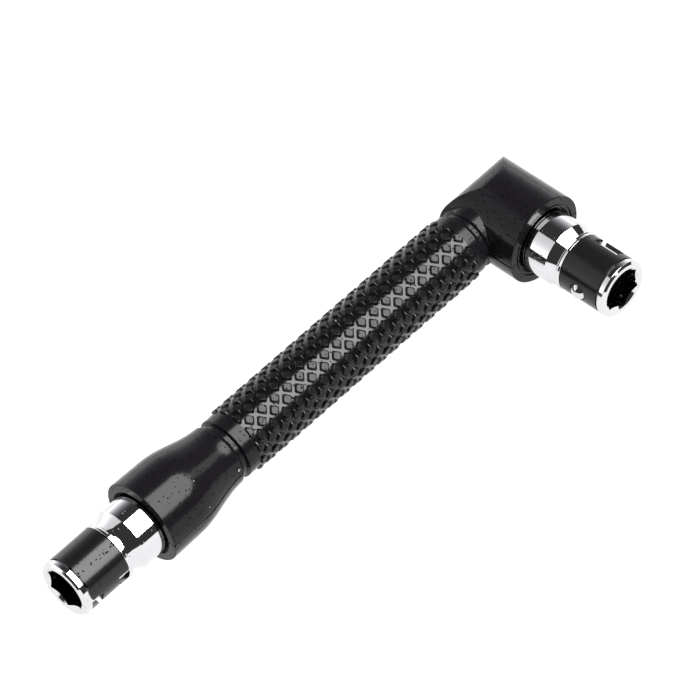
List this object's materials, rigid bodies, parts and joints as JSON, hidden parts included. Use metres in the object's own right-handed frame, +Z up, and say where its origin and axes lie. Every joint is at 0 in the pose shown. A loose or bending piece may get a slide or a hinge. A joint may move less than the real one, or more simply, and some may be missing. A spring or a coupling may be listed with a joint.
{
  "type": "offset screwdriver",
  "caption": "Pocket L-shaped offset screwdriver with a knurled plastic handle and a hex bit socket at each end, one of them at a right angle.",
  "frame": {"origin": "middle of the footprint of the tool lying flat on its side, at the height of its lowest point", "axes": "-X out of the socket at the handle's end, -Y out of the head's socket, +Z up, square to the level plane that holds both sockets' axes"},
  "size_m": [0.1024, 0.0328, 0.0151],
  "materials": {
    "handle_plastic": "near-black moulded ABS, semi-gloss, pads slightly duller",
    "socket_chrome": "bright chrome plating on turned steel",
    "band_spring_steel": "blackened spring steel, satin",
    "ball_steel": "polished bearing steel",
    "magnet_nickel": "nickel-plated magnet disc",
    "shank_steel": "plain drawn hex steel"
  },
  "bodies": {
    "tool": {"handle_lower_shell": "handle_plastic", "handle_upper_shell": "handle_plastic", "end_socket": "socket_chrome", "end_spring_band": "band_spring_steel", "end_magnet": "magnet_nickel", "end_shank": "shank_steel", "head_socket": "socket_chrome", "head_spring_band": "band_spring_steel", "head_magnet": "magnet_nickel", "head_shank": "shank_steel"},
    "end_ball_body": {"end_ball": "ball_steel"},
    "head_ball_body": {"head_ball": "ball_steel"}
  },
  "joints": [
    {"name": "end_ball_slide", "type": "slide", "parent": "tool", "child": "end_ball_body", "axis": [0, 1, 0], "range_m": [0, 0.00075], "stiffness_N_per_m": 1000, "deforming": ["end_spring_band"]},
    {"name": "head_ball_slide", "type": "slide", "parent": "tool", "child": "head_ball_body", "axis": [-1, 0, 0], "range_m": [0, 0.00075], "stiffness_N_per_m": 1000, "deforming": ["head_spring_band"]}
  ]
}
